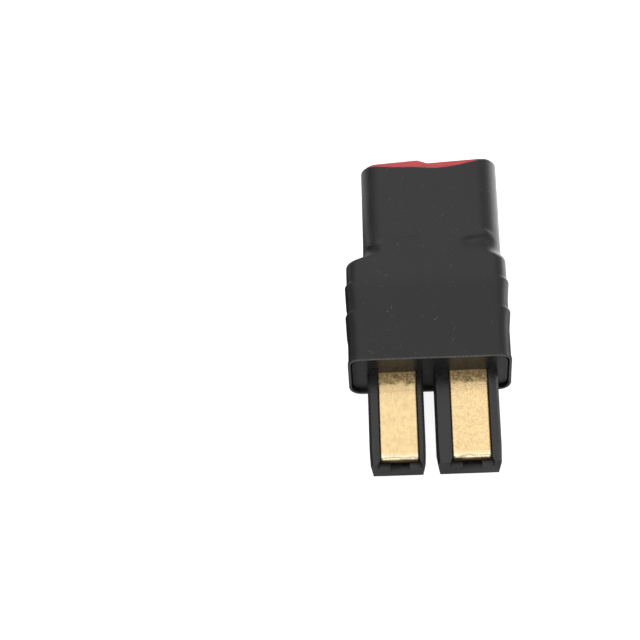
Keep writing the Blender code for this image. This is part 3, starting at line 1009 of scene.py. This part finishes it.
@dataclass
class BladeContact:
    """Stamped blade contact: a bar with rounded edges, a worn tip with a painted highlight, a
    shoulder and a solder tail.

    exposed is the length in front of the face plate. A span is the pair of places, or of shares,
    between which a mark grows from nothing to its full strength.
    """

    node: str
    seed: int
    side_bulge: float = 0.10
    edge: float = 0.26
    edge_share: float = 0.3
    tip_radius: float = 0.42
    tip_limits: Span = (0.22, 0.60)
    tip_waver: float = 0.30
    tip_waves: int = 7
    tip_wavelength: float = 2.4
    tip_corner: float = 0.36
    tip_burr: float = 0.10
    exposed: float = 11.25
    past_face: float = 0.5
    shoulder_from_face: float = 8.35
    shoulder_length: float = 1.2
    shoulder_step: float = 0.4
    tail_step: float = 0.4
    step_width: float = 0.01
    step_margin: float = 0.1
    # Spread of the painted shade on the end face, and strength and span of that along the sides.
    end_shade_spread: float = 0.05
    side_shade: float = 0.45
    side_shade_span: Span = (0.30, 0.95)
    line_at: float = 0.24
    line_spread: float = 0.16
    line_strength: float = 0.7
    line_waver: float = 0.5
    line_waves: int = 8
    line_wavelength: float = 1.0
    corner_at: float = 0.35
    corner_spread: float = 0.30
    corner_span: Span = (0.72, 0.92)
    # Strengths of the painted highlight at the tip's corners and towards its end.
    corner_highlight: float = 0.6
    end_span: Span = (1.1, 0.4)
    end_highlight: float = 0.4
    upper_span: Span = (0.35, 0.75)
    sharp_degrees: float = 50.0
    around: int = 144
    tip_rows: int = 18
    rows: int = 90

    def __post_init__(self) -> None:
        """Take the places that the CAD node gives."""
        self.low, self.high = box_mm(self.node)
        self.face = self.low[1] + self.exposed
        self.shoulder = self.face + self.shoulder_from_face
        self.neck = self.shoulder + self.shoulder_length
        bar = (self.high[0] - self.low[0]) / 2.0 - self.shoulder_step
        self.half_blade = bar + self.side_bulge
        self.half_thick = (self.high[2] - self.low[2]) / 2.0

    def stations(self) -> Array:
        """Places of the rings along Y, set closer at the tip by a cosine, and a pair at each step.

        Returns:
            The places in millimetres.
        """
        turn = np.linspace(0.0, math.pi / 2.0, self.tip_rows)
        tip = self.low[1] + self.tip_corner * (1.0 - np.cos(turn))
        blade = np.linspace(tip[-1], self.face + self.past_face, self.rows)[1:]
        steps = [self.shoulder - self.step_width, self.shoulder, self.shoulder + self.step_margin,
                 self.neck - self.step_margin, self.neck, self.neck + self.step_width,
                 self.high[1] - self.step_margin, self.high[1]]
        return np.concatenate([tip, blade, steps])

    def painted_highlight(self, x: Array, tip: Array, z: Array) -> Array:
        """Where a painted highlight brightens the plating.

        A wavering line along the tip's edge, its two corners and a weaker stretch behind them,
        all on the upper side.

        Args:
            x: Places across the blade in millimetres from its middle.
            tip: Distances from the tip.
            z: Heights over the blade's middle.

        Returns:
            Strengths from 0 to 1.
        """
        waves = Ripple(self.seed + 2, self.line_waves, self.line_wavelength)
        waver = waves.at(x, tip + self.low[1])
        line = bell(tip, self.line_at, self.line_spread) * (
            self.line_strength + self.line_waver * waver)
        corner = smooth_step(*self.corner_span, np.abs(x) / self.half_blade) * bell(
            tip, self.corner_at, self.corner_spread)
        end = self.end_highlight * smooth_step(*self.end_span, tip)
        lifted = np.clip((z + self.half_thick) / (2.0 * self.half_thick), 0.0, 1.0)
        return np.clip(line + self.corner_highlight * corner + end, 0.0, 1.0) * smooth_step(
            *self.upper_span, lifted)

    def build(self, finish: Material) -> Piece:
        """Make the blade as rounded rectangles along Y.

        Towards the tip the sides come in as a quarter circle of the tip's corner. The upper face
        drops as one whose radius wavers across the blade, as a shear-cut edge does, and the lower
        face rises as a smaller one.

        Args:
            finish: Material of the blade.

        Returns:
            The finished piece.
        """
        station = self.stations()
        step = self.shoulder_step * ((station >= self.shoulder) & (station <= self.neck))
        step = step - self.tail_step * (station > self.neck)
        half = self.half_blade + step - round_off(station - self.low[1], self.tip_corner)
        edge = np.full_like(station, self.edge)
        section, out = rounded_ring(half, self.half_thick, edge, self.around, self.edge_share)
        x, z = section[..., 0], section[..., 1]
        y = np.broadcast_to(station[:, None], x.shape)
        tip = y - self.low[1]
        waves = Ripple(self.seed, self.tip_waves, self.tip_wavelength).at(x, 0.0 * x)
        radius = np.clip(self.tip_radius * (1.0 + self.tip_waver * waves), *self.tip_limits)
        z = z - np.clip(z / self.half_thick, 0.0, 1.0) * round_off(tip, radius)
        below = np.clip(-section[..., 1] / self.half_thick, 0.0, 1.0)
        z = z + below * round_off(tip, self.tip_burr)
        middle = (self.low + self.high) / 2.0
        rings = np.stack([x + middle[0], y, z + middle[2]], axis=-1)
        made = loft(self.node + "_plated", rings, Ends.CAPPED)
        # Painted shade on the end face and along the side edges of the blade.
        side = self.side_shade * smooth_step(*self.side_shade_span, np.abs(out[..., 0]))
        point_values(made, "edge_shade", np.maximum(bell(tip, 0.0, self.end_shade_spread), side))
        # Painted highlight along the upper edge and corners of the tip.
        point_values(made, "tip_highlight", self.painted_highlight(x, tip, z))
        return dress(made, finish, self.sharp_degrees, self.node)


@dataclass
class MouldedHousing:
    """Moulded housing: the CAD body's own shape with its edges rounded as a mould leaves them."""

    node: str
    name: str
    slot: Slot
    edge: float = 0.09
    edge_segments: int = 3
    edge_degrees: float = 28.0
    weld: float = 0.002
    flat_degrees: float = 1.0
    sharp_degrees: float = 40.0

    def build(self, finish: Material) -> Piece:
        """Merge a copy of the CAD body into whole faces and round its edges.

        Args:
            finish: Material of the housing.

        Returns:
            The finished piece.
        """
        mesh = bpy.data.meshes.new(self.name)
        body = bmesh.new()
        body.from_mesh(bpy.data.objects[self.node].data)
        bmesh.ops.remove_doubles(body, verts=body.verts, dist=self.weld * MM)
        bmesh.ops.dissolve_limit(body, angle_limit=math.radians(self.flat_degrees),
                                 verts=body.verts, edges=body.edges)
        body.to_mesh(mesh)
        body.free()
        made = new_object(self.name, mesh)
        rounding = made.modifiers.new("mould_radius", "BEVEL")
        rounding.width = self.edge * MM
        rounding.segments = self.edge_segments
        rounding.limit_method = "ANGLE"
        rounding.angle_limit = math.radians(self.edge_degrees)
        rounding.harden_normals = True
        return dress(made, finish, self.sharp_degrees, self.node)


@dataclass(frozen=True)
class CarriedNode:
    """CAD node that is shown as it is, with a procedural finish."""

    node: str
    slot: Slot

    def build(self, finish: Material) -> Piece:
        """Give the node its finish.

        Args:
            finish: Material of the node.

        Returns:
            The node's object.
        """
        made = bpy.data.objects[self.node]
        for holder in made.material_slots:
            holder.material = finish
        return made


@dataclass(frozen=True)
class Softbox:
    """Square soft light that faces the adapter.

    where and side are in metres, and brightness is the radiance of its face.
    """

    name: str
    where: Point
    side: float
    brightness: float

    def build(self) -> None:
        """Make the light; its watts are pi times the radiance times the area."""
        light = bpy.data.lights.new(self.name, "AREA")
        light.size = self.side
        light.energy = math.pi * self.brightness * self.side * self.side
        lamp = new_object(self.name, light)
        lamp.location = self.where
        lamp.rotation_euler = (-Vector(self.where)).to_track_quat("-Z", "Y").to_euler()


@dataclass(frozen=True)
class Studio:
    """Pale floor, soft light and the photograph's camera.

    The mirror values say how bright a glossy ray finds the floor in front of the adapter and
    beside it. They and the horizon's dimming stand for the dark surroundings that it mirrors.
    """

    azimuth: float = 3.66
    elevation: float = 62.0
    roll: float = -5.29
    distance: float = 0.2996
    target: Point = (-0.01288, 0.000125, 0.004)
    focal_pixels: float = 2500.0
    frame_pixels: float = 640.0
    sensor: float = 36.0
    nearest: float = 0.01
    farthest: float = 20.0
    floor_half: float = 3.0
    paper: float = 0.93
    floor_glow: float = 0.82
    mirror_front_left: Rise = Rise(-0.0080, -0.0010, 0.30, 0.17)
    mirror_front_right: Rise = Rise(0.0010, 0.0080, high=0.40)
    mirror_ahead: float = 0.27
    mirror_ahead_span: Span = (-0.0215, -0.0190)
    mirror_left: Rise = Rise(0.011, 0.024, 0.04, 0.65)
    mirror_left_span: Span = (-0.0100, -0.0080)
    mirror_right: Rise = Rise(-0.002, 0.014, 0.12, 1.90)
    mirror_right_span: Span = (0.0085, 0.0110)
    sky: Rise = Rise(0.08, 0.30, 0.95, 0.60)
    near_horizon: Rise = Rise(0.20, 0.50, 1.0, 0.0)
    leftwards: Rise = Rise(-0.75, -0.15, 1.0, 0.0)
    left_light: float = 0.06
    right_dimming: Rise = Rise(0.2, 0.7, 0.0, 0.30)
    softboxes: tuple[Softbox, ...] = (
        Softbox("overhead_softbox", (-0.06, 0.14, 0.46), 0.55, 0.58),
        Softbox("side_softbox", (0.50, 0.05, 0.10), 0.18, 1.6),
        Softbox("front_softbox", (0.0, -0.45, 0.22), 0.16, 1.8))

    def build(self) -> None:
        """Make the floor, the light and the camera, and set the plain colour view."""
        bpy.context.scene.view_settings.view_transform = "Standard"
        self.make_floor()
        self.make_world()
        for softbox in self.softboxes:
            softbox.build()
        self.make_camera()

    def make_floor(self) -> None:
        """Flat pale floor that keeps the soft shadow and shows white to the camera."""
        half = self.floor_half
        corners = [(-half, -half, 0.0), (half, -half, 0.0), (half, half, 0.0), (-half, half, 0.0)]
        mesh = bpy.data.meshes.new("studio_floor")
        mesh.from_pydata(corners, [], [(0, 1, 2, 3)])
        floor = new_object("studio_floor", mesh)
        material = bpy.data.materials.new("floor_paper")
        material.use_nodes = True
        tree = material.node_tree
        tree.nodes.clear()
        path = place(tree, "LightPath").outputs
        glossy = path["Is Glossy Ray"]
        mirrored = self.mirrored(tree)
        seen = larger(tree, path["Is Camera Ray"], path["Is Transmission Ray"])
        seen = math_node(tree, "MULTIPLY_ADD", glossy, mirrored, seen)
        strength = times(tree, seen, self.floor_glow)
        share = ramp(tree, glossy, 0.0, 1.0, 1.0, mirrored)
        paper = place(tree, "BsdfDiffuse", {"Color": scaled(tree, (self.paper,) * 3, share)})
        glow = place(tree, "Emission", {"Color": (1.0, 1.0, 1.0, 1.0), "Strength": strength})
        shown = place(tree, "AddShader", {0: paper.outputs[0], 1: glow.outputs[0]})
        end = place(tree, "OutputMaterial")
        tree.links.new(shown.outputs[0], end.inputs["Surface"])
        mesh.materials.append(material)

    def mirrored(self, tree: Tree) -> Socket:
        """How bright the adapter mirrors the floor.

        Dim on its left, rising towards the socket, middling in front, and on its right rising
        from dim beside the plug to bright beside the socket.

        Args:
            tree: Tree of the floor's material.

        Returns:
            The share's socket.
        """
        where = axes_of(tree, place(tree, "TexCoord").outputs["Object"])
        front = self.mirror_front_left.of(tree, where["X"])
        front = self.mirror_front_right.of(tree, where["X"], low=front)
        front = ramp(tree, where["Y"], *self.mirror_ahead_span, self.mirror_ahead, front)
        left = self.mirror_left.of(tree, where["Y"])
        right = self.mirror_right.of(tree, where["Y"])
        share = ramp(tree, where["X"], *self.mirror_left_span, left, front)
        return ramp(tree, where["X"], *self.mirror_right_span, share, right)

    def make_world(self) -> None:
        """Soft light, brighter at the horizon, dimmer low on both sides, white to the camera."""
        world = bpy.data.worlds.new("studio")
        bpy.context.scene.world = world
        world.use_nodes = True
        tree = world.node_tree
        shown = tree.nodes["Background"].inputs
        toward = axes_of(tree, place(tree, "TexCoord").outputs["Generated"])
        light = self.sky.of(tree, toward["Z"])
        low = self.near_horizon.of(tree, toward["Z"])
        left = times(tree, self.leftwards.of(tree, toward["X"]), low)
        gap = math_node(tree, "SUBTRACT", self.left_light, light)
        light = math_node(tree, "MULTIPLY_ADD", left, gap, light)
        right = times(tree, self.right_dimming.of(tree, toward["X"]), low)
        light = times(tree, light, math_node(tree, "SUBTRACT", 1.0, right))
        seen = place(tree, "LightPath").outputs["Is Camera Ray"]
        tree.links.new(ramp(tree, seen, 0.0, 1.0, light, 1.0), shown["Strength"])
        shown["Color"].default_value = (1.0, 1.0, 1.0, 1.0)

    def make_camera(self) -> None:
        """Camera on a sphere round the target, rolled about its own axis."""
        turn, rise, roll = (math.radians(v) for v in (self.azimuth, self.elevation, self.roll))
        back = Vector((math.sin(turn) * math.cos(rise), -math.cos(turn) * math.cos(rise),
                       math.sin(rise)))
        right = Vector((math.cos(turn), math.sin(turn), 0.0))
        up = back.cross(right)
        across = right * math.cos(roll) + up * math.sin(roll)
        upward = up * math.cos(roll) - right * math.sin(roll)
        data = bpy.data.cameras.new("photo_camera")
        data.sensor_width = self.sensor
        data.lens = self.sensor * self.focal_pixels / self.frame_pixels
        data.clip_start = self.nearest
        data.clip_end = self.farthest
        camera = new_object("photo_camera", data)
        axes = Matrix((across, upward, back)).transposed().to_4x4()
        stand = Vector(self.target) + back * self.distance
        camera.matrix_world = Matrix.Translation(stand) @ axes
        bpy.context.scene.camera = camera


def main() -> None:
    """Load the frame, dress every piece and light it."""
    logging.basicConfig(level=logging.INFO, format="%(name)s: %(message)s")
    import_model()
    effects = Effects().build()
    sleeve = ShrinkSleeve()
    root = RootBand(sleeve.face_plate * MM)
    # brown colours the real pits and the painted shade on the blades.
    gilt, brown = (0.87, 0.645, 0.335), (0.13, 0.075, 0.018)
    black = NylonFinish("black_moulding", (0.016, 0.016, 0.0168), (0.07, 0.07, 0.07))
    red = NylonFinish("red_moulding", (0.72, 0.075, 0.085), (0.85, 0.30, 0.30), roughness=0.42,
                      mottling=0.1)
    gold = MetalFinish("gold_plating_lined", gilt, brown, metallic=0.86, roughness=0.19,
                       brushing=(1.0, 0.05, 1.0), lined=0.5, relief=0.60, root=root)
    grained_gold = MetalFinish("gold_plating_grained", gilt, brown, metallic=0.86, roughness=0.19,
                               lined=0.15, grit=4600.0, streaks=0.18, relief=0.54, root=root)
    steel = MetalFinish("spring_steel", (0.60, 0.60, 0.62), (0.25, 0.24, 0.22), roughness=0.28,
                        streaks=0.10, relief=0.08, pits=0.04)
    solder = MetalFinish("tin_solder", (0.62, 0.63, 0.64), (0.30, 0.29, 0.27), roughness=0.38,
                         brushing=(1.0, 1.0, 1.0), relief=0.08, pits=0.08)
    shrink, black, red, gold, grained_gold, steel, solder = (
        finish.build(effects)
        for finish in (ShrinkFinish(), black, red, gold, grained_gold, steel, solder))
    plan = [(sleeve, shrink),
            (MouldedHousing("plug_housing", "plug_moulding", Slot.BLACK_NYLON), black),
            (MouldedHousing("socket_housing", "socket_moulding", Slot.RED_NYLON, edge=0.12), red),
            (BladeContact("blade_contact_left", seed=11), gold),
            (BladeContact("blade_contact_right", seed=23), grained_gold),
            (CarriedNode("socket_contact_flat", Slot.GOLD), grained_gold),
            (CarriedNode("socket_contact_upright", Slot.GOLD), grained_gold),
            (CarriedNode("contact_spring_flat", Slot.STEEL), steel),
            (CarriedNode("contact_spring_upright", Slot.STEEL), steel),
            (CarriedNode("solder_joint_left", Slot.SOLDER), solder),
            (CarriedNode("solder_joint_right", Slot.SOLDER), solder)]
    for piece, finish in plan:
        made = piece.build(finish)
        LOG.info("%s: %d faces", made.name, len(made.data.polygons))
    Studio().build()


if __name__ == "__main__":
    main()
